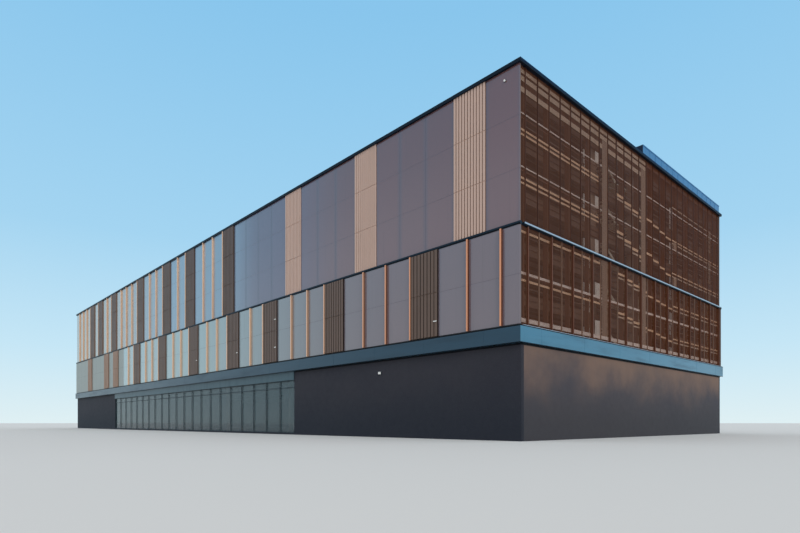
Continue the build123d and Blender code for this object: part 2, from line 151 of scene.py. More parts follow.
class Graph:
    """The nodes of a material or of the world."""

    def __init__(self, owner: bpy.types.Material | bpy.types.World) -> None:
        """Empties the owner's nodes.

        Args:
            owner: the material or world.
        """
        owner.use_nodes = True
        self.owner = owner
        self.tree = owner.node_tree
        self.tree.nodes.clear()
        self.places = self.node("ShaderNodeTexCoord").outputs

    def node(
        self,
        kind: str,
        settings: Mapping[str, object] | None = None,
        inputs: Mapping[str | int, object] | None = None,
    ) -> bpy.types.Node:
        """Adds a node.

        Args:
            kind: the node's type.
            settings: its own settings, set first; stops are a colour ramp's places and colours.
            inputs: values or links of its sockets, by name or number.

        Returns:
            The node.
        """
        made = self.tree.nodes.new(kind)
        for name, value in (settings or {}).items():
            if name == "stops":
                self._set_stops(made, value)
            else:
                setattr(made, name, value)
        for key, value in (inputs or {}).items():
            source = value.socket if isinstance(value, Term) else value
            if isinstance(source, bpy.types.NodeSocket):
                self.tree.links.new(source, made.inputs[key])
            else:
                made.inputs[key].default_value = source
        return made

    @staticmethod
    def _set_stops(made: bpy.types.Node, stops: Sequence[tuple[float, Colour]]) -> None:
        """Sets a colour ramp's stops.

        Args:
            made: the ramp's node.
            stops: the place and colour of each.
        """
        ramp = made.color_ramp
        while len(ramp.elements) < len(stops):
            ramp.elements.new(0.5)
        for element, (place, colour) in zip(ramp.elements, stops):
            element.position = place
            element.color = (*colour, 1.0)

    def axis(self, name: str, kind: str = "Object") -> Term:
        """One of the place's coordinates, named X, Y or Z."""
        made = self.node("ShaderNodeSeparateXYZ", inputs={0: self.places[kind]})
        return Term(self, made.outputs[name])

    def run(self) -> Term:
        """Place along a long side, towards the corner that its panel pattern starts at."""
        return self.axis("X") * self.axis("Y").sign() * -1.0

    def noise(self, scale: Point | float, detail: float = 3.0, roughness: float = 0.55) -> Term:
        """Soft noise about 0.5.

        Args:
            scale: waves in a metre, the same all ways or one number for each axis.
            detail: finer layers.
            roughness: how strong the finer layers are.

        Returns:
            The noise.
        """
        ways = scale if isinstance(scale, tuple) else (scale,) * 3
        stretch = {0: self.places["Object"], 1: ways}
        place = self.node("ShaderNodeVectorMath", {"operation": "MULTIPLY"}, stretch).outputs[0]
        inputs = {"Vector": place, "Scale": 1.0, "Detail": detail, "Roughness": roughness}
        return Term(self, self.node("ShaderNodeTexNoise", inputs=inputs).outputs[0])

    def chips(self, scale: float) -> Term:
        """A random number for each grain of a broken pattern.

        Args:
            scale: grains in a metre.

        Returns:
            The number.
        """
        settings = {"voronoi_dimensions": "3D", "feature": "F1"}
        inputs = {"Vector": self.places["Object"], "Scale": scale}
        made = self.node("ShaderNodeTexVoronoi", settings, inputs)
        split = self.node("ShaderNodeSeparateColor", inputs={0: made.outputs["Color"]})
        return Term(self, split.outputs[0])

    def lottery(self, first: Term, second: Term) -> Term:
        """A random number for each pair of whole numbers.

        Args:
            first: one of the pair.
            second: the other one.

        Returns:
            The number.
        """
        pair = self.node("ShaderNodeCombineXYZ", inputs={0: first, 1: second})
        settings = {"noise_dimensions": "3D"}
        made = self.node("ShaderNodeTexWhiteNoise", settings, {"Vector": pair.outputs[0]})
        return Term(self, made.outputs["Value"])

    def mix(
        self,
        factor: Term | float,
        first: Colour | bpy.types.NodeSocket,
        second: Colour | bpy.types.NodeSocket,
        blend: str = "MIX",
    ) -> bpy.types.NodeSocket:
        """Mixes two colours.

        Args:
            factor: share of the second.
            first: a colour or its link.
            second: a colour or its link.
            blend: the way of mixing.

        Returns:
            The mixed colour.
        """
        settings = {"data_type": "RGBA", "blend_type": blend}
        pair = [(*c, 1.0) if isinstance(c, tuple) else c for c in (first, second)]
        return self.node("ShaderNodeMix", settings, {0: factor, 6: pair[0], 7: pair[1]}).outputs[2]

    def bump(self, height: Term, depth: float) -> bpy.types.NodeSocket:
        """A relief as a bent normal, from heights of 0 to 1 and its depth in metres."""
        inputs = {"Height": height, "Distance": depth, "Strength": 1.0}
        return self.node("ShaderNodeBump", inputs=inputs).outputs[0]

    def finish(self, **sockets: object) -> bpy.types.Material:
        """Ends the graph in one Principled shader.

        Args:
            sockets: its inputs, with _ for a space in their names.

        Returns:
            The material.
        """
        inputs = {name.replace("_", " "): value for name, value in sockets.items()}
        for name in ("Base Color", "Emission Color"):
            if isinstance(inputs.get(name), tuple):
                inputs[name] = (*inputs[name], 1.0)
        shader = self.node("ShaderNodeBsdfPrincipled", inputs=inputs)
        self.node("ShaderNodeOutputMaterial", inputs={0: shader.outputs[0]})
        return self.owner


# Finishes


@dataclass(frozen=True)
class Wash:
    """A second tone that comes in along a long side, or downwards, between two places."""

    colour: Colour
    start: float
    end: float
    share: float = 1.0
    down: bool = False

    def amount(self, g: Graph) -> Term:
        """How much of the tone there is."""
        way = g.axis("Z") if self.down else g.run()
        return way.step_up(self.start, self.end) * self.share


@dataclass(frozen=True)
class Finish:
    """What all finishes share."""

    name: str

    def graph(self) -> Graph:
        """The graph of a new material."""
        return Graph(bpy.data.materials.new(self.name))


@dataclass(frozen=True)
class PanelCoat(Finish):
    """Glossy coat on flat facade panels: each panel a little different in tone, with a painted
    shade, darker and bluer, along each joint and painted sky reflection in the washes along a
    front.
    """

    warm: Colour
    cool: Colour
    washes: tuple[Wash, ...]
    first_joint: float = 0.0
    panel_width: float = 0.25
    row_height: float = 0.3
    first_row: float = 0.645
    edge_shade_tone: Colour = (0.085, 0.085, 0.12)
    streak_tone: Colour = (0.05, 0.045, 0.05)
    dull_from: float = -9.0
    dull: Colour = (0.2, 0.215, 0.22)
    wave_depth: float = 0.0007

    def material(self) -> bpy.types.Material:
        """Makes the finish.

        Returns:
            Its material.
        """
        g = self.graph()
        run = g.run()
        place = (run - self.first_joint) / self.panel_width
        column = place.floor()
        across = (place.fraction() - 0.5).absolute() * 2.0
        row = ((g.axis("Z") - self.first_row) / self.row_height).floor()
        chance = g.lottery(column, row) * 0.3 + g.lottery(column, column * 0.0 + 3.0) * 0.7
        tone = g.mix(chance, self.warm, self.cool)
        cloud = g.noise((1.1, 1.1, 0.6), 2.0)
        tone = g.mix(cloud.step_up(0.35, 0.7) * 0.3, tone, self.cool)
        # washes along the run are painted sky reflection, growing towards the far end; a downward
        # wash only changes the tone lower in a band
        for wash in self.washes:
            tone = g.mix(wash.amount(g), tone, wash.colour)
        # painted shade of the bowed panel edges: a darker, bluer band along each joint
        tone = g.mix(across.step_up(0.72, 1.0) * 0.4, tone, self.edge_shade_tone)
        streak = g.noise((42.0, 42.0, 1.2), 4.0, 0.6)
        tone = g.mix(streak.step_up(0.55, 0.8) * 0.14, tone, self.streak_tone)
        dull = run.step_up(self.dull_from + 0.004, self.dull_from)
        tone = g.mix(dull * 0.9, tone, self.dull)
        wave = g.noise((5.0, 5.0, 2.2), 1.0)
        return g.finish(
            Base_Color=tone,
            Roughness=streak * 0.12 + 0.15 + dull * 0.3,
            Coat_Weight=1.0 - dull * 0.9,
            Coat_Roughness=0.06,
            Coat_IOR=1.5,
            Normal=g.bump(wave, self.wave_depth),
        )


@dataclass(frozen=True)
class CoatedSheet(Finish):
    """Folded sheet metal with a satin coat, long soft streaks and dirt from the rain."""

    colour: Colour
    soiled: Colour
    metallic: float = 0.0
    roughness: float = 0.42
    coat: float = 0.0
    specular: float = 0.3
    streaks: Point = (30.0, 30.0, 2.0)
    soil: float = 0.45
    ends: Colour | None = None
    ends_from: float = 5.009
    low: Colour | None = None
    far: Wash | None = None
    far_top: float = 9.0

    def material(self) -> bpy.types.Material:
        """Makes the finish.

        Returns:
            Its material.
        """
        g = self.graph()
        streak = g.noise(self.streaks, 4.0, 0.6)
        cloud = g.noise(2.3, 2.0)
        share = streak.step_up(0.4, 0.75) * self.soil * cloud.step_up(0.25, 0.7)
        tone = self.colour
        # the ends tone is painted light: the same sheet made lighter on the building's ends
        if self.ends is not None:
            end = g.axis("X").absolute().step_up(self.ends_from, self.ends_from + 0.001)
            tone = g.mix(end, tone, self.ends)
        below = g.axis("Z").step_up(self.far_top + 0.001, self.far_top)
        if self.low is not None:
            tone = g.mix(below, tone, self.low)
        tone = g.mix(share, tone, self.soiled)
        # on the fins and rib sides the far tone is painted sky reflection
        if self.far is not None:
            far = self.far.amount(g) * below
            tone = g.mix(far * (1.0 - share * 0.6), tone, self.far.colour)
        grain = g.noise(900.0, 1.0)
        return g.finish(
            Base_Color=tone,
            Metallic=self.metallic,
            Roughness=share * 0.25 + self.roughness,
            Specular_IOR_Level=self.specular,
            Coat_Weight=self.coat,
            Coat_Roughness=0.15,
            Normal=g.bump(grain, 0.00004),
        )


@dataclass(frozen=True)
class Plaster(Finish):
    """Dark fine render with cloudy drying marks, darker towards its foot."""

    colour: Colour
    cloud: Colour
    foot: Colour
    warm_top: float = 0.0

    def material(self) -> bpy.types.Material:
        """Makes the finish.

        Returns:
            Its material.
        """
        g = self.graph()
        drift = g.noise((1.7, 1.7, 2.6), 5.0, 0.62)
        tone = g.mix(drift.step_up(0.36, 0.68) * 0.55, self.colour, self.cloud)
        if self.warm_top > 0:
            height = g.axis("Z") + g.noise((2.0, 2.0, 2.4), 4.0) * 0.7
            tone = g.mix(height.step_up(0.56, 0.98) * self.warm_top, tone, (0.24, 0.145, 0.1))
        # darker towards the foot
        low_dark = (g.axis("Z") + g.noise((3.0, 3.0, 2.0), 3.0) * 0.12).step_up(0.5, 0.12)
        tone = g.mix(low_dark * 0.85, tone, self.foot)
        grain = g.noise(520.0, 3.0, 0.7)
        trowel = g.noise(26.0, 4.0)
        speck = grain.step_up(0.3, 0.75) * 0.12
        return g.finish(
            Base_Color=g.mix(speck, tone, (0.16, 0.155, 0.16)),
            Roughness=0.82 - trowel * 0.2,
            Specular_IOR_Level=0.3,
            Normal=g.bump(grain * 0.5 + trowel * 0.5, 0.0006),
        )


@dataclass(frozen=True)
class Concrete(Finish):
    """Troweled concrete with blotches, pores and fine cracks of tone, and with a soffit tone a
    painted shade under the decks.
    """

    colour: Colour
    stain: Colour
    roughness: float = 0.85
    soffit_shade: Colour | None = None
    storey: float = 0.3
    first_deck: float = 0.55

    def material(self) -> bpy.types.Material:
        """Makes the finish.

        Returns:
            Its material.
        """
        g = self.graph()
        blotch = g.noise(3.1, 6.0, 0.62)
        tyre = g.noise((0.8, 9.0, 1.0), 4.0, 0.6)
        pores = g.noise(180.0, 2.0, 0.7)
        tone = g.mix(blotch.step_up(0.35, 0.7) * 0.6, self.colour, self.stain)
        tone = g.mix(tyre.step_up(0.5, 0.8) * 0.3, tone, self.stain)
        tone = g.mix(pores.step_up(0.6, 0.72) * 0.25, tone, (0.1, 0.095, 0.09))
        # painted shade on the undersides of the decks, lighter in stripes along the building
        if self.soffit_shade is not None:
            share = ((g.axis("Z") - self.first_deck) / self.storey).fraction()
            under = (share - 0.9533).absolute().step_up(0.03, 0.02)
            rib = (g.axis("X") * 9.6).fraction().step_up(0.42, 0.5)
            tone = g.mix(under * (1.0 - rib * 0.25), tone, self.soffit_shade)
        return g.finish(
            Base_Color=tone,
            Roughness=blotch * 0.12 + (self.roughness - 0.06),
            Normal=g.bump(pores * 0.6 + blotch * 0.4, 0.0005),
        )


@dataclass(frozen=True)
class Zinc(Finish):
    """Galvanised steel with its flower pattern."""

    bright: Colour = (0.85, 0.74, 0.58)
    dull: Colour = (0.62, 0.53, 0.41)

    def material(self) -> bpy.types.Material:
        """Makes the finish.

        Returns:
            Its material.
        """
        g = self.graph()
        flower = g.chips(160.0)
        cloud = g.noise(9.0, 3.0)
        return g.finish(
            Base_Color=g.mix(flower * 0.6 + cloud * 0.4, self.dull, self.bright),
            Metallic=0.2,
            Roughness=flower * 0.2 + 0.38,
        )


@dataclass(frozen=True)
class WindowGlass(Finish):
    """Tinted shop glass that mirrors the sky and lets the shop show faintly."""

    tint: Colour = (0.05, 0.09, 0.11)

    def material(self) -> bpy.types.Material:
        """Makes the finish.

        Returns:
            Its material.
        """
        g = self.graph()
        dust = g.noise((30.0, 30.0, 8.0), 4.0, 0.6)
        wave = g.noise((6.0, 6.0, 4.0), 1.0)
        return g.finish(
            Base_Color=g.mix(dust.step_up(0.5, 0.8) * 0.2, self.tint, (0.3, 0.34, 0.36)),
            Roughness=dust * 0.06 + 0.02,
            Specular_IOR_Level=0.5,
            Coat_Weight=0.25,
            Coat_Roughness=0.02,
            Alpha=dust * 0.08 + 0.62,
            Normal=g.bump(wave, 0.0006),
        )


@dataclass(frozen=True)
class LampGlass(Finish):
    """White diffuser of a lamp that is switched off, with a faint moulded texture."""

    colour: Colour = (0.82, 0.82, 0.8)

    def material(self) -> bpy.types.Material:
        """Makes the finish.

        Returns:
            Its material.
        """
        g = self.graph()
        frost = g.noise(700.0, 2.0)
        return g.finish(
            Base_Color=g.mix(frost.step_up(0.3, 0.8) * 0.15, self.colour, (0.6, 0.6, 0.6)),
            Roughness=0.35,
            Coat_Weight=0.3,
            Normal=g.bump(frost, 0.00005),
        )


class Finishes(Enum):
    """The finishes of the building."""

    # Washes along the run: painted sky reflection, bluer and then paler towards the far end. The
    # downward wash warms the band's lower part.
    UPPER_PANEL = PanelCoat(
        "upper_panel_coat",
        (0.162, 0.071, 0.068),
        (0.13, 0.073, 0.083),
        (
            Wash((0.24, 0.15, 0.15), 2.1, 1.3, 0.5, True),
            Wash((0.11, 0.115, 0.2), 3.5, 2.3, 0.6),
            Wash((0.2, 0.31, 0.43), 2.05, 1.2, 0.92),
            Wash((0.34, 0.3, 0.25), 0.0, -3.2),
        ),
    )
    # Its wash along the run is painted sky reflection, paler blue-grey towards the far end.
    LOWER_PANEL = PanelCoat(
        "lower_panel_coat",
        (0.195, 0.134, 0.142),
        (0.18, 0.145, 0.166),
        (Wash((0.31, 0.43, 0.45), 4.2, 0.0, 0.92),),
        0.125,
        dull_from=-2.127,
        dull=(0.315, 0.345, 0.325),
    )
    GASKET = CoatedSheet("panel_gasket", (0.1, 0.068, 0.085), (0.085, 0.06, 0.075), coat=0.8)
    TAN_SHEET = CoatedSheet(
        "tan_ribbed_sheet", (0.565, 0.392, 0.32), (0.45, 0.315, 0.25), coat=0.15, soil=0.3
    )
    # Rib sides: darker as painted shade, paler further along as painted sky reflection.
    TAN_EDGE = CoatedSheet(
        "tan_rib_edge",
        (0.25, 0.16, 0.125),
        (0.2, 0.125, 0.1),
        far=Wash((0.5, 0.35, 0.285), 4.4, 4.2),
    )
    BROWN_SHEET = CoatedSheet(
        "brown_ribbed_sheet",
        (0.118, 0.072, 0.053),
        (0.08, 0.05, 0.038),
        coat=0.06,
        low=(0.136, 0.086, 0.064),
        far=Wash((0.33, 0.19, 0.12), -2.126, -2.127),
        far_top=1.23,
    )
    # Rib sides: near black as painted shade, lighter further along as painted sky reflection.
    BROWN_EDGE = CoatedSheet(
        "brown_rib_edge",
        (0.02, 0.014, 0.013),
        (0.02, 0.014, 0.012),
        specular=0.1,
        far=Wash((0.2, 0.125, 0.09), 3.5, -3.0),
    )
    # Fin sides: dark as painted shade, pale copper further along as painted sky reflection.
    COPPER_WEB = CoatedSheet(
        "copper_fin_web",
        (0.17, 0.055, 0.03),
        (0.12, 0.04, 0.024),
        0.35,
        roughness=0.4,
        soil=0.3,
        far=Wash((0.8, 0.53, 0.36), 4.4, 1.4),
    )
    # Fin fronts: paler towards the far end as painted sky reflection.
    COPPER_CAP = CoatedSheet(
        "copper_fin_cap",
        (0.72, 0.3, 0.15),
        (0.55, 0.22, 0.11),
        roughness=0.34,
        coat=0.6,
        far=Wash((0.87, 0.58, 0.39), 4.6, 1.8),
    )
    # Its lighter ends are a painted reflection of the sky on the end fascias.
    BLUE_SHEET = CoatedSheet(
        "blue_fascia_sheet",
        (0.0125, 0.045, 0.08),
        (0.007, 0.024, 0.042),
        roughness=0.36,
        coat=0.4,
        streaks=(1.6, 1.6, 14.0),
        soil=0.6,
        ends=(0.045, 0.185, 0.3),
    )
    # Near black strips where shade falls: painted shadow.
    SHADOW = CoatedSheet("shadow_gap", (0.006, 0.007, 0.01), (0.01, 0.01, 0.012), specular=0.05)
    HEADER_SHEET = CoatedSheet("header_sheet", (0.045, 0.09, 0.115), (0.03, 0.055, 0.075), coat=0.2)
    FLASHING = CoatedSheet(
        "flashing_sheet", (0.008, 0.019, 0.033), (0.006, 0.012, 0.02), specular=0.15
    )
    # Light sheet on the end ledges: painted light on the lit upper face.
    LEDGE_SHEET = CoatedSheet("ledge_sheet", (0.3, 0.41, 0.53), (0.2, 0.3, 0.4), coat=0.3)
    COPING = CoatedSheet("coping_sheet", (0.005, 0.01, 0.02), (0.004, 0.008, 0.015), specular=0.12)
    # Bluer upper strip of the coping on the ends: painted reflection.
    COPING_EDGE = CoatedSheet(
        "coping_edge_sheet", (0.003, 0.016, 0.05), (0.003, 0.01, 0.03), specular=0.08
    )
    HOUSE_SHEET = CoatedSheet("house_sheet", (0.035, 0.165, 0.37), (0.03, 0.13, 0.3), coat=0.3)
    HOUSE_END = CoatedSheet("house_end_sheet", (0.004, 0.011, 0.035), (0.006, 0.012, 0.03))
    BRONZE = CoatedSheet(
        "bronze_screen",
        (0.135, 0.056, 0.031),
        (0.095, 0.04, 0.023),
        specular=0.12,
        far=Wash((0.118, 0.034, 0.009), 0.001, 0.0),
    )
    # Its lighter ends are painted light on the outer faces of the slat frames.
    SLAT_FRAME = CoatedSheet(
        "slat_frame_coat",
        (0.065, 0.026, 0.016),
        (0.05, 0.02, 0.013),
        specular=0.1,
        soil=0.25,
        ends=(0.2, 0.12, 0.085),
        ends_from=4.9865,
    )
    HEAD_RAIL = CoatedSheet("head_rail_coat", (0.16, 0.062, 0.033), (0.1, 0.04, 0.024))
    RED_BRONZE = CoatedSheet(
        "red_bronze_fin", (0.1, 0.026, 0.014), (0.065, 0.018, 0.012), specular=0.15
    )
    # Light strip on the lit side of each end fin's edge: a painted highlight.
    FIN_HIGHLIGHT = CoatedSheet("fin_highlight_coat", (0.19, 0.09, 0.055), (0.13, 0.06, 0.04))
    DARK_FRAME = CoatedSheet("dark_frame_coat", (0.025, 0.04, 0.05), (0.02, 0.03, 0.035))
    # Dark brown as painted shade inside the screened decks, lighter near the screens as painted
    # light.
    DECK_STEEL = CoatedSheet(
        "deck_steel_coat",
        (0.08, 0.045, 0.032),
        (0.06, 0.034, 0.025),
        roughness=0.55,
        ends=(0.11, 0.062, 0.042),
        ends_from=4.93,
    )
    LIGHT_STEEL = CoatedSheet(
        "light_steel_coat", (0.6, 0.46, 0.34), (0.42, 0.3, 0.22), roughness=0.5
    )
    RAIL_STEEL = CoatedSheet("rail_steel_coat", (0.16, 0.11, 0.085), (0.12, 0.08, 0.062))
    # Strips behind the screen slats: painted light for the sunlit rails and deck edges.
    STRIP_RAIL = CoatedSheet("strip_rail_coat", (0.95, 0.8, 0.72), (0.75, 0.62, 0.55), soil=0.3)
    STRIP_BAND = CoatedSheet("strip_band_coat", (0.95, 0.62, 0.4), (0.7, 0.42, 0.26), soil=0.4)
    STRIP_TOP = CoatedSheet("strip_top_coat", (0.62, 0.46, 0.34), (0.36, 0.25, 0.19), soil=0.7)
    CASING_WHITE = CoatedSheet("casing_white_coat", (0.9, 0.82, 0.74), (0.7, 0.62, 0.55))
    CASING_TAN = CoatedSheet("casing_tan_coat", (0.4, 0.27, 0.19), (0.26, 0.17, 0.12), soil=0.8)
    CORNER_TRIM = CoatedSheet(
        "corner_trim_coat", (0.16, 0.125, 0.12), (0.12, 0.095, 0.09), specular=0.15
    )
    WHITE_PAINT = CoatedSheet("white_door_coat", (0.82, 0.78, 0.73), (0.62, 0.58, 0.54))
    LIGHT_WALL = Concrete("painted_wall", (0.3, 0.21, 0.155), (0.22, 0.155, 0.115), 0.8)
    # Dark partly as its own colour and partly as painted shade, since it shows only in gaps and
    # under the house roof.
    LINING = CoatedSheet("lining_sheet", (0.02, 0.022, 0.026), (0.015, 0.015, 0.018))
    # One render on all base walls: the darker front is painted shade and the lighter ends are
    # painted light.
    FRONT_PLASTER = Plaster(
        "front_plaster", (0.019, 0.0175, 0.027), (0.03, 0.027, 0.035), (0.007, 0.01, 0.02)
    )
    SIDE_PLASTER = Plaster(
        "side_plaster", (0.052, 0.045, 0.057), (0.078, 0.065, 0.068), (0.034, 0.032, 0.038), 0.75
    )
    # Its soffit tone is painted shade under the decks.
    DECK_CONCRETE = Concrete(
        "deck_concrete", (0.4, 0.36, 0.31), (0.27, 0.24, 0.2), soffit_shade=(0.06, 0.035, 0.026)
    )
    HATCH = Concrete("hatch_concrete", (0.34, 0.31, 0.27), (0.25, 0.22, 0.19))
    SHOP_FLOOR = Concrete("shop_floor", (0.42, 0.41, 0.4), (0.33, 0.32, 0.31), 0.5)
    ZINC = Zinc("zinc_coat")
    GLASS = WindowGlass("shop_glass")
    LAMP_GLASS = LampGlass("lamp_glass")


@cache
def material_of(finish: Finishes) -> bpy.types.Material:
    """The material of a finish, made at the first call."""
    return finish.value.material()


def dress(piece: bpy.types.Object, *finishes: Finishes) -> None:
    """Gives a piece its finishes.

    Args:
        piece: the piece.
        finishes: its finishes in the order of its faces' numbers.
    """
    if piece.data.materials:
        piece.data.materials.clear()
    for finish in finishes:
        piece.data.materials.append(material_of(finish))


# Mesh work


ORIGIN = (0.0, 0.0, 0.0)


def put(name: str, data: bpy.types.ID) -> bpy.types.Object:
    """Puts an object in the scene.

    Args:
        name: its name.
        data: its mesh, light or camera.

    Returns:
        The object.
    """
    made = bpy.data.objects.new(name, data)
    bpy.context.scene.collection.objects.link(made)
    return made


def along(places: Iterable[float]) -> list[Point]:
    """Shifts along the building."""
    return [(x, 0.0, 0.0) for x in places]


def across(places: Iterable[float]) -> list[Point]:
    """Shifts across the building."""
    return [(0.0, y, 0.0) for y in places]


class Shape:
    """A mesh in the making, built with bmesh operators."""

    sideways: float = 0.8

    def __init__(self) -> None:
        """Starts empty."""
        self.mesh = bmesh.new()

    def block(self, low: Point, high: Point, edge: float = 0.0) -> list[bmesh.types.BMVert]:
        """A box between two corners.

        Args:
            low: its lowest corner.
            high: its highest corner.
            edge: width of the bevel on its edges.

        Returns:
            Its vertices.
        """
        size = Vector(high) - Vector(low)
        centre = (Vector(high) + Vector(low)) / 2
        place = Matrix.Translation(centre) @ Matrix.Diagonal((*size, 1.0))
        verts = bmesh.ops.create_cube(self.mesh, size=1.0, matrix=place)["verts"]
        if edge <= 0:
            return verts
        edges = list({e for v in verts for e in v.link_edges})
        bevelled = bmesh.ops.bevel(
            self.mesh, geom=edges, offset=edge, segments=1, profile=0.5, affect="EDGES", material=-1
        )
        return bevelled["verts"]

    def rod(self, start: Point, end: Point, radius: float, sides: int) -> None:
        """A round bar between two points.

        Args:
            start: one end.
            end: the other end.
            radius: its radius.
            sides: its sides.
        """
        way = Vector(end) - Vector(start)
        turn = way.to_track_quat("Z", "Y").to_matrix().to_4x4()
        place = Matrix.Translation((Vector(start) + Vector(end)) / 2) @ turn
        bmesh.ops.create_cone(
            self.mesh,
            cap_ends=True,
            segments=sides,
            radius1=radius,
            radius2=radius,
            depth=way.length,
            matrix=place,
        )

    def stamp(
        self,
        low: Point,
        high: Point,
        places: Iterable[Point] = (ORIGIN,),
        edge: float = 0.0,
        number: int = 0,
    ) -> None:
        """The same box at several places.

        Args:
            low: its lowest corner at no shift.
            high: its highest corner at no shift.
            places: how far each one is shifted.
            edge: width of the bevel on its edges.
            number: which of the piece's finishes it takes.
        """
        first = self.block(low, high, edge)
        faces = {f for v in first for f in v.link_faces}
        for face in faces:
            face.material_index = number
        geom = [*first, *{e for v in first for e in v.link_edges}, *faces]
        for place in places:
            bmesh.ops.translate(self.mesh, verts=self._copy(geom), vec=place)
        bmesh.ops.delete(self.mesh, geom=first, context="VERTS")

    def _copy(self, geom: Sequence[bmesh.types.BMElem]) -> list[bmesh.types.BMVert]:
        """Copies a part of the mesh and gives the vertices of the copy."""
        copy = bmesh.ops.duplicate(self.mesh, geom=geom)["geom"]
        return [v for v in copy if isinstance(v, bmesh.types.BMVert)]

    def number_sides(self) -> None:
        """Gives number 1 to the faces that look along the building, left or right."""
        self.mesh.normal_update()
        for face in self.mesh.faces:
            if abs(face.normal.x) > self.sideways:
                face.material_index = 1

    def half_turn(self, verts: Sequence[bmesh.types.BMVert] = ()) -> None:
        """Turns these vertices, or all, to the opposite side of the building."""
        turn = Matrix.Rotation(math.pi, 3, "Z")
        bmesh.ops.rotate(self.mesh, verts=verts or self.mesh.verts[:], cent=ORIGIN, matrix=turn)

    def deliver(self, name: str, slot: str, *finishes: Finishes, stands_for: str = "") -> None:
        """Ends the mesh as a finished piece that rides on the building.

        Args:
            name: the piece's name.
            slot: the record's material slot; not used.
            finishes: its finishes in the order of its faces' numbers.
            stands_for: the node that it replaces, if any.
        """
        bmesh.ops.recalc_face_normals(self.mesh, faces=self.mesh.faces[:])
        data = bpy.data.meshes.new(name)
        self.mesh.to_mesh(data)
        self.mesh.free()
        made = put(name, data)
        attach(made, "root")
        dress(made, *finishes)
        if stands_for:
            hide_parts(stands_for)
        LOG.info("%s: %d faces", name, len(data.polygons))

    def both(self, name: str, slot: str, *finishes: Finishes) -> None:
        """Adds the same again on the opposite side and ends the piece."""
        self.half_turn(self._copy(self.mesh.verts[:] + self.mesh.edges[:] + self.mesh.faces[:]))
        self.deliver(name, slot, *finishes)


# The building's measures


@dataclass(frozen=True)
class Building:
    """Measures that the finer pieces follow."""

    module: float = 0.25
    modules_long: int = 40
    half_length: float = 5.0
    half_width: float = 1.7
    end_wall_x: float = 4.994
    long_wall_y: float = 1.68
    screen_reach: float = 1.6635
    upper_setback: float = 0.01
    panel_thickness: float = 0.004
    panel_gap: float = 0.002
    first_deck: float = 0.55
    storey: float = 0.3
    fascia_bottom: float = 0.558
    fascia_top: float = 0.655
    sill: float = 0.663
    mid_bottom: float = 1.222
    mid_top: float = 1.24
    wall_top: float = 2.135
    coping_top: float = 2.155
    joint_rise: float = 0.095
    upper_tan: tuple[float, ...] = (1, 5, 9)
    upper_brown: tuple[float, ...] = (14, 18, 21, 25, 30, 33, 35)
    lower_brown: tuple[float, ...] = (2.5, 6.5, 10.5, 13.5, 17.5, 21.5, 25.5, 29.5, 31.5, 35.5)
    fin_half_width: float = 0.006
    fin_ranges: tuple[tuple[float, float], ...] = ((0.5, 27.5), (15, 39))
    joint_decks: tuple[tuple[int, ...], ...] = ((1,), (3, 4))
    first_line: float = 0.075
    line_count: int = 14

    def joint_x(self, number: float) -> float:
        """Place of a facade joint, counted from the near corner."""
        return self.half_length - number * self.module

    def band(self, upper: bool) -> tuple[float, float]:
        """Lower and upper end of a band of panels."""
        return (self.mid_top, self.wall_top) if upper else (self.sill, self.mid_bottom)

    def corner(self, upper: bool) -> tuple[float, float]:
        """How far a band's outer faces stand from the middle, on the ends and the long sides."""
        setback = self.upper_setback if upper else 0.0
        return self.half_length - setback, self.half_width - setback

    def face_y(self, upper: bool) -> float:
        """The plane of a band's outer face on the front."""
        return -self.corner(upper)[1]

    def panel_joints(self, upper: bool) -> list[float]:
        """Heights of the level joints inside a band."""
        first = self.first_deck + self.joint_rise
        return [first + n * self.storey for n in self.joint_decks[upper]]

    def rows(self, upper: bool) -> list[tuple[float, float]]:
        """Rows of panels in a band.

        Args:
            upper: whether it is the upper band.

        Returns:
            Bottom and top of each row.
        """
        low, high = self.band(upper)
        ends = [low, *self.panel_joints(upper), high]
        return list(zip(ends[:-1], ends[1:]))

    def fins(self, upper: bool) -> list[float]:
        """Joints with a fin: in its band's range, those that have no ribbed panel.

        Args:
            upper: whether it is the upper band.

        Returns:
            The joints' numbers.
        """
        first, last = self.fin_ranges[upper]
        ribbed = self.upper_brown if upper else self.lower_brown
        return [k for n in range(int(last - first) + 1) if (k := first + n) not in ribbed]

    def ribbed_span(self, number: float, upper: bool) -> tuple[float, float]:
        """Left and right edge of a ribbed panel, clear of the fins beside it.

        Args:
            number: the joint at its right edge.
            upper: whether it is in the upper band.

        Returns:
            Both edges.
        """
        ends = []
        for joint, way in ((number + 1, 1.0), (number, -1.0)):
            room = self.panel_gap / 2
            room += self.fin_half_width if joint in self.fins(upper) else 0.0
            ends.append(self.joint_x(joint) + way * room)
        return ends[0], ends[1]

    def smooth_spans(self, upper: bool) -> list[tuple[float, float]]:
        """Left and right edge of every smooth panel, without its gaps.

        Args:
            upper: whether it is the upper band.

        Returns:
            Both edges of each.
        """
        if upper:
            taken = self.upper_tan + self.upper_brown
            pairs = [(k, k + 1) for k in range(self.modules_long) if k not in taken]
        else:
            starts = [0.0] + [n + 0.5 for n in range(self.modules_long)]
            stops = [*starts[1:], float(self.modules_long)]
            pairs = [(a, b) for a, b in zip(starts, stops) if a not in self.lower_brown]
        reach = self.corner(upper)[0]
        return [(max(self.joint_x(b), -reach), min(self.joint_x(a), reach)) for a, b in pairs]

    def lines(self) -> list[float]:
        """Places of the posts and fins across an end."""
        first = self.first_line - self.half_width
        return [first + n * self.module for n in range(self.line_count)]


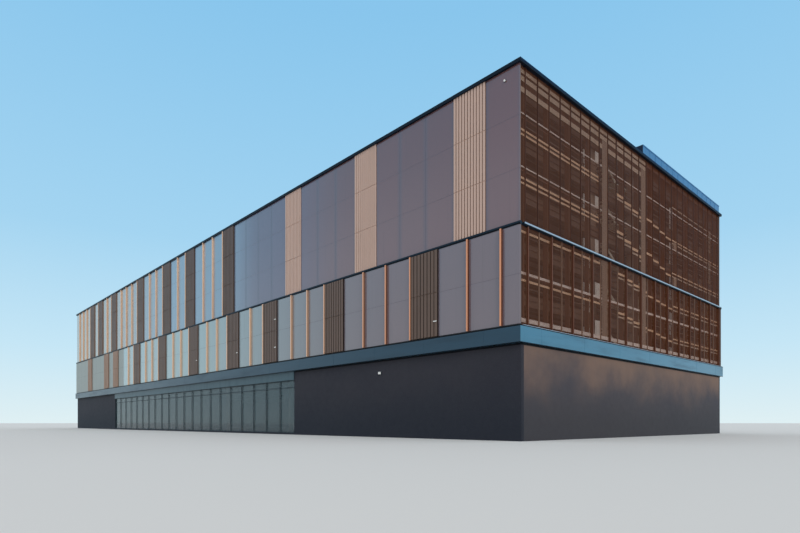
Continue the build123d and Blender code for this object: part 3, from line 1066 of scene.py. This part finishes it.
@dataclass
class CadDress:
    """Finishes of the pieces that keep their own shape."""

    finishes: tuple[tuple[Finishes, str], ...] = (
        (Finishes.SHOP_FLOOR, "ground_floor"),
        (Finishes.FRONT_PLASTER, "front_base_wall back_base_wall"),
        (Finishes.SIDE_PLASTER, "right_base_wall left_base_wall"),
        (Finishes.DARK_FRAME, "shopfront_frame"),
        (Finishes.GLASS, "shopfront_glass"),
        (Finishes.HEADER_SHEET, "shopfront_header"),
        (Finishes.BLUE_SHEET, "fascia_band"),
        (Finishes.FLASHING, "mid_band"),
        (Finishes.COPING, "parapet_coping"),
        (Finishes.LIGHT_STEEL, "columns"),
        (Finishes.DECK_STEEL, "deck_beams"),
        (Finishes.DECK_CONCRETE, "deck_1 deck_2 deck_3 deck_4 deck_5 roof_deck"),
        (Finishes.LINING, "front_wall_lining back_wall_lining"),
        (Finishes.UPPER_PANEL, "front_upper_panels back_upper_panels"),
        (Finishes.LOWER_PANEL, "front_lower_panels back_lower_panels"),
        (Finishes.BRONZE, "screen_posts"),
        (Finishes.HEAD_RAIL, "screen_rails"),
        (Finishes.RED_BRONZE, "screen_fins"),
        (Finishes.SLAT_FRAME, "right_screen_slats left_screen_slats"),
        (Finishes.RAIL_STEEL, "right_guard_rails left_guard_rails"),
        (Finishes.ZINC, "stair_stringers stair_treads stair_landings"),
        (Finishes.LIGHT_WALL, "core_piers"),
        (Finishes.WHITE_PAINT, "service_doors"),
        (Finishes.HOUSE_SHEET, "rooftop_house"),
    )

    def build(self, nodes: Mapping[str, bpy.types.Object]) -> None:
        """Dresses every node.

        Args:
            nodes: the model's nodes by name.
        """
        for finish, names in self.finishes:
            for name in names.split():
                dress(nodes[name], finish)
                LOG.info("finish of %s: %s", name, finish.value.name)


@dataclass
class Maker:
    """Makes finer pieces after the building's measures."""

    building: Building


@dataclass
class SidePieces(Maker):
    """Pieces that stand for one node on the front and for its like on the back."""

    piece: str
    node: str
    slot: str
    finishes: tuple[Finishes, Finishes]

    def build(self) -> None:
        """Makes the piece of each long side, with the second finish, a darker painted shade, on
        faces along it.
        """
        for side in ("front", "back"):
            shape = Shape()
            for upper in (True, False):
                self.fill(shape, upper)
            shape.number_sides()
            if side == "back":
                shape.half_turn()
            node = self.node.format(side)
            shape.deliver(self.piece.format(side), self.slot, *self.finishes, stands_for=node)

    def fill(self, shape: Shape, upper: bool) -> None:
        """Adds what one band holds."""
        raise NotImplementedError


@dataclass
class RibbedPanels(SidePieces):
    """Ribbed sheet panels: a backing sheet, and a course of ribs for each row."""

    upper: tuple[float, ...]
    lower: tuple[float, ...]
    ribs: int
    proud: float
    gap: float = 0.0065
    depth: float = 0.006
    edge: float = 0.0006
    joint: float = 0.0026
    sunk: float = 0.0004

    def fill(self, shape: Shape, upper: bool) -> None:
        """Adds the panels of one band.

        Args:
            shape: what they are added to.
            upper: whether it is the upper band.
        """
        place = self.building
        face = place.face_y(upper)
        groove = face - self.proud + self.depth
        low, high = place.band(upper)
        for number in self.upper if upper else self.lower:
            left, right = place.ribbed_span(number, upper)
            shape.block((left, groove, low), (right, face + place.panel_thickness, high))
            pitch = (right - left + self.gap) / self.ribs
            for bottom, top in place.rows(upper):
                low_end = (left, face - self.proud, bottom + self.joint / 2)
                high_end = (left + pitch - self.gap, groove + self.sunk, top - self.joint / 2)
                places = along(n * pitch for n in range(self.ribs))
                shape.stamp(low_end, high_end, places, self.edge)


@dataclass
class Fins(SidePieces):
    """Copper fins: a web, and a cap folded over its outer edge."""

    piece: str = "fins_{}"
    node: str = "{}_copper_fins"
    slot: str = "copper_metal"
    # the web finish goes on every side face: dark as painted shade
    finishes: tuple[Finishes, Finishes] = (Finishes.COPPER_CAP, Finishes.COPPER_WEB)
    proud: float = 0.0165
    web_half: float = 0.0046
    cap_half: float = 0.0062
    cap_depth: float = 0.0022
    edge: float = 0.0005

    def fill(self, shape: Shape, upper: bool) -> None:
        """Adds the fins of one band.

        Args:
            shape: what they are added to.
            upper: whether it is the upper band.
        """
        place = self.building
        face = place.face_y(upper)
        low, high = place.band(upper)
        outer = face - self.proud
        fold = outer + self.cap_depth
        shifts = along(place.joint_x(n) for n in place.fins(upper))
        shape.stamp((-self.web_half, fold, low), (self.web_half, face, high), shifts)
        shape.stamp((-self.cap_half, outer, low), (self.cap_half, fold, high), shifts, self.edge)


@dataclass
class Gaskets(Maker):
    """Shallow joints between the smooth panels."""

    sunk: float = 0.0002
    back: float = 0.0032
    clear: float = 0.0001
    corner: float = 0.02

    def build(self) -> None:
        """Makes the joints of both long sides."""
        shape, place = Shape(), self.building
        gap = place.panel_gap / 2
        half = gap - self.clear
        inner = place.half_length - self.corner
        for upper in (True, False):
            near, far = (place.face_y(upper) + depth for depth in (self.sunk, self.back))
            low, high = place.band(upper)
            spans = place.smooth_spans(upper)
            joints = sorted({round(x, 4) for span in spans for x in span if abs(x) < inner})
            shape.stamp((-half, near, low), (half, far, high), along(joints))
            for height in place.panel_joints(upper):
                for left, right in spans:
                    low_end = (left + gap, near, height - half)
                    shape.block(low_end, (right - gap, far, height + half))
        shape.both("panel_joints", "lining_sheet", Finishes.GASKET)


class Bays(Enum):
    """Groups of bays across the right end, each from one place to another."""

    ALL = (-2.0, 2.0)
    NEAR_HALF = (-2.0, -0.02)
    NEAR = (-2.0, -0.8)
    STAIR = (-0.55, -0.05)
    LANDING = (-0.05, 0.45)
    FAR = (0.45, 2.0)

    def holds(self, y: float) -> bool:
        """Whether a bay that starts at y is in the group."""
        low, high = self.value
        return low < y < high


@dataclass(frozen=True)
class StripRow:
    """One row of strips behind the slats: its bays, middle, height, finish number and fall."""

    bays: Bays
    middle: float
    height: float
    number: int
    fall: float = 0.0


def rows(bays: Bays, *sizes: tuple[float, ...]) -> list[StripRow]:
    """Rows of strips in the same bays."""
    return [StripRow(bays, *size) for size in sizes]


@dataclass(frozen=True)
class Casing:
    """One upright sheet behind the strips: its band, sides, ends and finish number."""

    upper: bool
    left: float
    right: float
    low: float
    high: float
    number: int = 0


@dataclass
class Screens(Maker):
    """Fine work of the screened ends: slats, light strips and casings behind them, corner trims and
    fin highlights; the strips and the fin highlights are painted light.
    """

    pitch: float = 0.01
    width: float = 0.0032
    thickness: float = 0.0012
    setbacks: tuple[float, float] = (0.006, 0.016)
    reaches: tuple[float, float] = (1.684, 1.674)
    strip_planes: tuple[float, float] = (4.9882, 4.9782)
    strip_depth: float = 0.001
    frame_half: float = 0.0024
    fin_proud: float = 0.006
    # Rows of strips, here and in the upper rows: painted light where sunlit rails and deck edges
    # show.
    lower_rows: tuple[StripRow, ...] = (
        *rows(Bays.ALL, (0.6885, 0.024, 0), (0.9552, 0.015, 0)),
        *rows(Bays.NEAR, (0.915, 0.013, 1), (1.1897, 0.014, 1)),
        *rows(Bays.STAIR, (0.89, 0.016, 1, 0.018), (0.861, 0.011, 2, 0.018)),
        *rows(Bays.STAIR, (1.17, 0.016, 1, 0.019), (1.141, 0.011, 2, 0.019)),
        *rows(Bays.LANDING, (0.826, 0.014, 1, 0.014), (1.09, 0.014, 1, 0.012)),
        *rows(Bays.FAR, (0.7771, 0.011, 2), (0.8063, 0.011, 1)),
        *rows(Bays.FAR, (1.0478, 0.011, 2), (1.082, 0.011, 1)),
    )
    upper_rows: tuple[StripRow, ...] = (
        *rows(Bays.ALL, (1.566, 0.008, 0), (1.8705, 0.008, 0)),
        *rows(Bays.NEAR_HALF, (2.0051, 0.03, 2), (2.0678, 0.028, 2), (2.108, 0.022, 2)),
        *rows(Bays.NEAR, (1.4729, 0.011, 1), (1.5012, 0.012, 1)),
        *rows(Bays.NEAR, (1.7491, 0.011, 1), (1.7764, 0.012, 1)),
        *rows(Bays.STAIR, (1.474, 0.02, 1, 0.034), (1.442, 0.013, 2, 0.034)),
        *rows(Bays.STAIR, (1.738, 0.018, 1, 0.022), (1.71, 0.012, 2, 0.022)),
        *rows(Bays.LANDING, (1.425, 0.016, 1, 0.03), (1.69, 0.015, 1, 0.018)),
        *rows(Bays.FAR, (1.3343, 0.01, 2), (1.3636, 0.01, 1)),
        *rows(Bays.FAR, (1.6135, 0.01, 2), (1.6398, 0.01, 1), (1.9161, 0.009, 2)),
    )
    casings: tuple[Casing, ...] = (
        Casing(False, -0.723, -0.64, 0.7, 1.2195, 1),
        Casing(False, -0.105, -0.02, 0.7, 1.2195, 1),
        Casing(False, -0.82, -0.7524, 0.7, 0.796),
        Casing(False, -0.82, -0.7524, 0.963, 1.05),
        Casing(True, -0.703, -0.6274, 1.2415, 2.05, 1),
        Casing(True, -0.081, -0.0024, 1.2415, 2.05, 1),
        Casing(True, -0.8, -0.7524, 1.2415, 1.347),
        Casing(True, -0.8, -0.7524, 1.571, 1.64),
        Casing(True, -0.8, -0.7524, 1.875, 1.94),
        Casing(True, 0.555, 0.6224, 1.571, 1.63, 1),
        Casing(True, 0.555, 0.6224, 1.2415, 1.33, 1),
    )
    casing_depth: float = 0.0008
    trim_depths: tuple[float, float] = (0.0112, 0.0005)
    trim_sides: tuple[float, float] = (0.0042, 0.011)
    trim_edge: float = 0.0006
    highlight_depths: tuple[float, float] = (-0.004, 0.0005)
    highlight_sides: tuple[float, float] = (-0.0034, -0.0012)
    roof_edge: Box = ((4.9403, -1.6635, 2.0555), (4.9437, 1.6635, 2.1348))

    def build(self) -> None:
        """Makes the pieces of both ends."""
        self._slats()
        self._strips()
        self._casings()
        self._corners()
        self._roof_edge()
        self._fin_highlights()

    def _slats(self) -> None:
        """Makes the fine slats of both bands."""
        half = self.width / 2
        for upper, name in ((False, "fine_slats_lower"), (True, "fine_slats_upper")):
            shape = Shape()
            low, high = self.building.band(upper)
            outer = self.building.half_length - self.setbacks[upper]
            count = int(self.reaches[upper] / self.pitch)
            places = across(n * self.pitch for n in range(-count, count + 1))
            shape.stamp((outer - self.thickness, -half, low), (outer, half, high), places)
            shape.both(name, "bronze_metal", Finishes.BRONZE)

    def _strips(self) -> None:
        """Makes the level strips between the slat frames, behind the fine slats: painted light for
        the sunlit rails and deck edges.
        """
        shape = Shape()
        step = self.building.module / 2
        first = self.building.lines()[0]
        starts = [first + n * step for n in range(2 * self.building.line_count - 2)]
        half = self.frame_half
        bands = (self.lower_rows, self.upper_rows)
        for x, reach, band in zip(self.strip_planes, self.reaches, bands):
            out = x + self.strip_depth
            for row in band:
                low, high = row.middle - row.height / 2, row.middle + row.height / 2
                held = [y for y in starts if row.bays.holds(y)]
                places = [(0.0, y, -row.fall * n) for n, y in enumerate(held)]
                shape.stamp((x, half, low), (out, step - half, high), places, number=row.number)
                for way in (-1.0, 1.0):
                    if row.bays.holds(way * reach):
                        left, right = sorted((way * reach, way * (half - first)))
                        shape.stamp((x, left, low), (out, right, high), number=row.number)
        coats = (Finishes.STRIP_RAIL, Finishes.STRIP_BAND, Finishes.STRIP_TOP)
        shape.both("screen_strips", "light_steel", *coats)

    def _casings(self) -> None:
        """Makes the upright sheets beside the stair."""
        shape = Shape()
        for case in self.casings:
            x = self.strip_planes[case.upper] + self.strip_depth
            high = (x + self.casing_depth, case.right, case.high)
            shape.stamp((x, case.left, case.low), high, number=case.number)
        coats = (Finishes.CASING_WHITE, Finishes.CASING_TAN)
        shape.both("screen_casings", "light_wall", *coats)

    def _corners(self) -> None:
        """Makes the light trims between the panels and the slats."""
        trims, place = Shape(), self.building
        for upper in (False, True):
            x, y = place.corner(upper)
            low, high = place.band(upper)
            back, front = (x - depth for depth in self.trim_depths)
            for way in (-1.0, 1.0):
                left, right = sorted(way * (y - side) for side in self.trim_sides)
                trims.block((back, left, low), (front, right, high), self.trim_edge)
        trims.both("corner_trims", "light_wall", Finishes.CORNER_TRIM)

    def _roof_edge(self) -> None:
        """Makes the sheet behind the posts along the roof's edge, under the coping."""
        shape = Shape()
        shape.block(*self.roof_edge)
        shape.both("roof_edge_sheets", "bronze_metal", Finishes.BRONZE)

    def _fin_highlights(self) -> None:
        """Makes a light strip on the lit side of each fin's outer edge in the lower band: a painted
        highlight.
        """
        shape = Shape()
        low, high = self.building.band(False)
        x = self.building.half_length + self.fin_proud
        back, front = (x + depth for depth in self.highlight_depths)
        left, right = self.highlight_sides
        shape.stamp((back, left, low), (front, right, high), across(self.building.lines()))
        shape.both("screen_fin_highlights", "red_bronze", Finishes.FIN_HIGHLIGHT)


@dataclass
class BandTrims(Maker):
    """Seams, painted shadow strips and folded edges on the bands round the building; the light
    ledges and blue coping edges on the ends are painted light.
    """

    seam_step: float = 0.5
    seam_half: float = 0.0016
    seam_proud: float = 0.0005
    seam_foot: float = 0.001
    seam_head: float = 0.006
    fascia_proud: float = 0.012
    coping_proud: float = 0.004
    ledge_proud: float = 0.006
    flashing_proud: float = 0.003
    fold: float = 0.0006
    thin: float = 0.0005
    over_fascia: float = 0.005
    under_fascia: float = 0.0026
    shadow_drop: float = 0.011
    shadow_drop_skin: tuple[float, float] = (0.0002, 0.0008)
    ledge_skin: tuple[float, float] = (0.0005, 0.0007)
    ledge_shadow: float = 1.231
    flashing_skin: tuple[float, float] = (0.0004, 0.0004)
    flashing_shadow: float = 1.2295
    coping_edge: tuple[float, float] = (2.1435, 2.1552)
    ledge_face: float = 0.0088
    ledge_depth: float = 0.018
    sill_sheet: Box = ((4.9885, -1.68, 0.655), (5.0115, 1.68, 0.6585))

    def build(self) -> None:
        """Makes the trims of every band."""
        self._seams()
        self._gaps()
        self._coping_edges()
        self._ledges()

    def _seams(self) -> None:
        """Makes upright cover strips on the joints of the fascia's and the coping's sheets."""
        place = self.building
        half, out = self.seam_half, self.seam_proud
        count = int(2 * place.half_length / self.seam_step)
        side = int(place.half_width / self.seam_step)
        front = along((n + 0.5) * self.seam_step - place.half_length for n in range(count))
        end = across(n * self.seam_step for n in range(-side, side + 1))
        fascia = (place.fascia_bottom + self.seam_foot, place.fascia_top - self.seam_head)
        coping = (place.wall_top + self.seam_foot, place.coping_top)
        for (low, high), proud, *labels in (
            (fascia, self.fascia_proud, "fascia_seams", "blue_sheet", Finishes.BLUE_SHEET),
            (coping, self.coping_proud, "coping_seams", "coping_metal", Finishes.COPING),
        ):
            shape = Shape()
            x, y = place.half_length + proud, -place.half_width - proud
            shape.stamp((-half, y - out, low), (half, y + out, high), front)
            shape.stamp((x - out, -half, low), (x + out, half, high), end)
            shape.both(*labels)

    def _gaps(self) -> None:
        """Makes painted shadow strips over and under the fascia, on the wall under it, and under
        the ledges and the flashing.
        """
        dark, place, fold = Shape(), self.building, self.fold
        x, y = place.half_length + self.fascia_proud, place.half_width + self.fascia_proud
        under = (place.fascia_bottom, place.fascia_bottom + self.under_fascia)
        for low, high in ((place.fascia_top - self.over_fascia, place.fascia_top), under):
            dark.block((-x - fold, -y - fold, low), (x + fold, -y + fold, high))
            dark.block((x - fold, -y, low), (x + fold, y, high))
        back, out = self.shadow_drop_skin
        x, y = place.end_wall_x, place.long_wall_y
        low, high = place.fascia_bottom - self.shadow_drop, place.fascia_bottom
        dark.block((-x, -y - out, low), (x, -y + back, high))
        dark.block((x - back, -y, low), (x + out, y, high))
        back, out = self.ledge_skin
        x, y = place.half_length + self.ledge_proud, place.screen_reach
        dark.block((x - back, -y, place.mid_bottom), (x + out, y, self.ledge_shadow))
        back, out = self.flashing_skin
        x, y = place.half_length + self.flashing_proud, place.half_width + self.flashing_proud
        dark.block((-x, -y - out, place.mid_bottom), (x, -y + back, self.flashing_shadow))
        dark.both("shadow_gaps", "blue_sheet", Finishes.SHADOW)

    def _coping_edges(self) -> None:
        """Makes the bluer edges of the coping on the ends, a painted reflection."""
        shape, place = Shape(), self.building
        x = place.half_length + self.coping_proud
        y = place.half_width + self.coping_proud + self.thin
        low, high = self.coping_edge
        shape.block((x - self.thin, -y, low), (x + self.fold, y, high))
        shape.both("coping_edges", "coping_metal", Finishes.COPING_EDGE)

    def _ledges(self) -> None:
        """Makes the light folded sheets on the end ledges, painted light on their lit upper part,
        and over the end fascias.
        """
        shape, place = Shape(), self.building
        x, y, top = place.half_length + self.ledge_proud, place.screen_reach, place.mid_top
        fold = self.fold
        shape.block((x - self.thin, -y, top - self.ledge_face), (x + fold, y, top + fold))
        shape.block((x - self.ledge_depth, -y, top), (x, y, top + fold))
        shape.block(*self.sill_sheet, fold)
        shape.both("light_ledges", "flashing_metal", Finishes.LEDGE_SHEET)


@dataclass
class Fittings(Maker):
    """Lamps on the facades: short bars, one round fitting and one on the base wall."""

    bars: tuple[tuple[float, float], ...] = (
        (4.373, 0.756), (2.371, 1.045), (2.371, 0.79), (1.621, 0.81), (0.621, 0.815)
    )
    bar_proud: float = 0.012
    bar_glass: Box = ((-0.03, -0.006, 0.0), (-0.001, -0.001, 0.0075))
    bar_case: Box = ((-0.028, -0.0015, 0.001), (-0.003, 0.0, 0.0075))
    bar_edge: float = 0.0015
    spot: tuple[float, float] = (4.89, 2.075)
    spot_sizes: tuple[tuple[float, float], ...] = ((0.008, 0.006), (0.003, 0.0075))
    spot_sides: int = 20
    wall_lamp: tuple[float, float] = (3.78, 0.465)
    wall_glass: Box = ((-0.012, -0.012, -0.009), (0.012, -0.004, 0.009))
    wall_case: Box = ((-0.016, -0.004, -0.013), (0.016, 0.0, 0.013))
    wall_edges: tuple[float, float] = (0.002, 0.001)

    def build(self) -> None:
        """Makes the lamps of both long sides, each with a glass and a case."""
        glass, cases = Shape(), Shape()
        y = -self.building.half_width - self.bar_proud
        bars = [(x, y, z) for x, z in self.bars]
        glass.stamp(*self.bar_glass, bars, self.bar_edge)
        cases.stamp(*self.bar_case, bars)
        (x, z), y = self.spot, self.building.face_y(True)
        for shape, (depth, radius) in zip((glass, cases), self.spot_sizes):
            shape.rod((x, y, z), (x, y - depth, z), radius, self.spot_sides)
        wall = [(self.wall_lamp[0], -self.building.long_wall_y, self.wall_lamp[1])]
        glass.stamp(*self.wall_glass, wall, self.wall_edges[0])
        cases.stamp(*self.wall_case, wall, self.wall_edges[1])
        glass.both("lamp_glasses", "white_door", Finishes.LAMP_GLASS)
        cases.both("lamp_cases", "dark_frame", Finishes.DARK_FRAME)


@dataclass
class HouseTrim(Maker):
    """Standing seams, roof edge, dark end sheets and linings of the rooftop house."""

    near_y: float = -0.095
    far_y: float = 1.63
    depth: float = 0.45
    top: float = 2.22
    seam_step: float = 0.115
    seam_half: float = 0.0008
    seam_proud: float = 0.0012
    rim_starts: tuple[float, float] = (0.003, 0.001)
    rim_width: float = 0.004
    rim_over: float = 0.003
    rim_drop: float = 0.007
    rim_rise: float = 0.0016
    rim_edge: float = 0.0005
    end_starts: tuple[float, float] = (-0.0015, 0.0005)
    end_width: float = 0.001
    end_low: Point = (0.001, 0.0, 0.002)
    end_high: Point = (0.0005, 0.0, 0.0008)
    ceiling: Box = ((4.565, -0.08, 2.2055), (4.98, 1.615, 2.2075))
    hatch: Box = ((4.785, -0.555, 2.05), (4.895, -0.0955, 2.053))
    hatch_edge: float = 0.0006

    def build(self) -> None:
        """Makes the trims."""
        right, top = self.building.half_length, self.top
        left = right - self.depth
        low = self.building.coping_top
        half, out = self.seam_half, self.seam_proud
        seams, ends, lining, hatch = Shape(), Shape(), Shape(), Shape()
        count = round((self.far_y - self.near_y) / self.seam_step)
        step = (self.far_y - self.near_y) / count
        shifts = across(self.near_y + n * step for n in range(1, count))
        seams.stamp((right, -half, low), (right + out, half, top), shifts)
        seams.stamp((left - out, -half, low), (left, half, top), shifts)
        seams.stamp((left, -half, top), (right, half, top + out), shifts)
        for face, start in zip((left, right), self.rim_starts):
            x = face - start
            low_end = (x, self.near_y - self.rim_over, top - self.rim_drop)
            high_end = (x + self.rim_width, self.far_y + self.rim_over, top + self.rim_rise)
            seams.block(low_end, high_end, self.rim_edge)
        for face, start in zip((self.near_y, self.far_y), self.end_starts):
            y = face + start
            low_end = (left - self.end_low[0], y, low - self.end_low[2])
            high_end = (right + self.end_high[0], y + self.end_width, top + self.end_high[2])
            ends.block(low_end, high_end)
        lining.block(*self.ceiling)
        hatch.block(*self.hatch, self.hatch_edge)
        seams.deliver("house_seams", "light_blue_sheet", Finishes.HOUSE_SHEET)
        ends.deliver("house_end_sheets", "light_blue_sheet", Finishes.HOUSE_END)
        lining.deliver("house_ceiling", "lining_sheet", Finishes.LINING)
        hatch.deliver("roof_hatch", "lining_sheet", Finishes.HATCH)


# Stage


@dataclass(frozen=True)
class Studio:
    """Pale floor, pale backdrop, soft lamps and the camera."""

    camera_place: Point = (6.782, -4.281, 0.107)
    camera_turn_deg: float = 47.02
    lens_mm: float = 24.6
    shift_up: float = 0.195
    backdrop: tuple[tuple[float, Colour], ...] = (
        (0.0, (0.74, 0.87, 0.9)),
        (0.12, (0.56, 0.79, 0.92)),
        (0.3, (0.37, 0.66, 0.88)),
        (0.6, (0.25, 0.56, 0.84)),
    )
    daylight: Colour = (0.92, 0.96, 1.0)
    daylight_strength: float = 0.75
    key_way: Point = (-0.85, 0.35, -0.55)
    key_strength: float = 1.1
    key_width_deg: float = 25.0
    key_colour: Colour = (1.0, 0.95, 0.88)
    floor_tones: tuple[Colour, Colour] = ((0.7, 0.7, 0.69), (0.64, 0.64, 0.63))
    floor_reach: float = 90.0
    seen_range: tuple[float, float] = (0.05, 400.0)

    def build(self) -> None:
        """Makes the stage."""
        self._floor()
        self._world()
        self._key()
        self._camera()
        LOG.info("stage ready")

    def _floor(self) -> None:
        """The pale floor."""
        mesh = bmesh.new()
        bmesh.ops.create_grid(mesh, x_segments=1, y_segments=1, size=self.floor_reach)
        data = bpy.data.meshes.new("pale_floor")
        mesh.to_mesh(data)
        mesh.free()
        g = Graph(bpy.data.materials.new("pale_floor"))
        pale = g.mix(g.noise(0.6, 2.0) * 0.2, *self.floor_tones)
        data.materials.append(g.finish(Base_Color=pale, Roughness=0.9))
        floor = put("pale_floor", data)

    def _world(self) -> None:
        """Soft daylight, with a backdrop shown to the camera, gloss and glass."""
        world = bpy.data.worlds.new("studio")
        bpy.context.scene.world = world
        g = Graph(world)
        rays = g.node("ShaderNodeLightPath").outputs
        seen = Term(g, rays["Is Camera Ray"])
        for kind in ("Is Glossy Ray", "Is Transmission Ray"):
            seen = seen.maths("MAXIMUM", seen, Term(g, rays[kind]))
        daylight = {0: (*self.daylight, 1.0), 1: self.daylight_strength}
        light = g.node("ShaderNodeBackground", inputs=daylight).outputs[0]
        height = {0: g.axis("Z", "Generated")}
        fade = g.node("ShaderNodeValToRGB", {"stops": self.backdrop}, height)
        shown = g.node("ShaderNodeBackground", inputs={0: fade.outputs[0]}).outputs[0]
        both = g.node("ShaderNodeMixShader", inputs={0: seen, 1: light, 2: shown})
        g.node("ShaderNodeOutputWorld", inputs={0: both.outputs[0]})

    def _key(self) -> None:
        """One broad soft key from the right of the camera."""
        data = bpy.data.lights.new("soft_key", "SUN")
        data.energy = self.key_strength
        data.angle = math.radians(self.key_width_deg)
        data.color = self.key_colour
        turn = Vector(self.key_way).to_track_quat("-Z", "Y").to_euler()
        put("soft_key", data).rotation_euler = turn

    def _camera(self) -> None:
        """The camera at the photograph's place."""
        data = bpy.data.cameras.new("camera")
        data.lens = self.lens_mm
        data.sensor_width = 36.0
        data.shift_y = self.shift_up
        data.clip_start, data.clip_end = self.seen_range
        camera = put("camera", data)
        camera.location = self.camera_place
        camera.rotation_euler = (math.radians(90), 0.0, math.radians(self.camera_turn_deg))
        bpy.context.scene.camera = camera


def main() -> None:
    """Builds the looks in order and reports each piece."""
    logging.basicConfig(level=logging.INFO, format="%(name)s: %(message)s")
    bpy.ops.object.select_all(action="SELECT")
    bpy.ops.object.delete()
    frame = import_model()
    bpy.context.scene.view_settings.view_transform = "Standard"
    building = Building()
    CadDress().build(frame["nodes"])
    makers = (
        RibbedPanels(
            building,
            "tan_ribbed_{}",
            "{}_tan_panels",
            "tan_panel",
            (Finishes.TAN_SHEET, Finishes.TAN_EDGE),
            upper=building.upper_tan,
            lower=(),
            ribs=11,
            proud=0.006,
        ),
        RibbedPanels(
            building,
            "brown_ribbed_{}",
            "{}_brown_panels",
            "brown_panel",
            (Finishes.BROWN_SHEET, Finishes.BROWN_EDGE),
            upper=building.upper_brown,
            lower=building.lower_brown,
            ribs=8,
            proud=0.012,
        ),
        Fins(building),
        Gaskets(building),
        Screens(building),
        BandTrims(building),
        Fittings(building),
        HouseTrim(building),
        Studio(),
    )
    for maker in makers:
        maker.build()


if __name__ == "__main__":
    main()
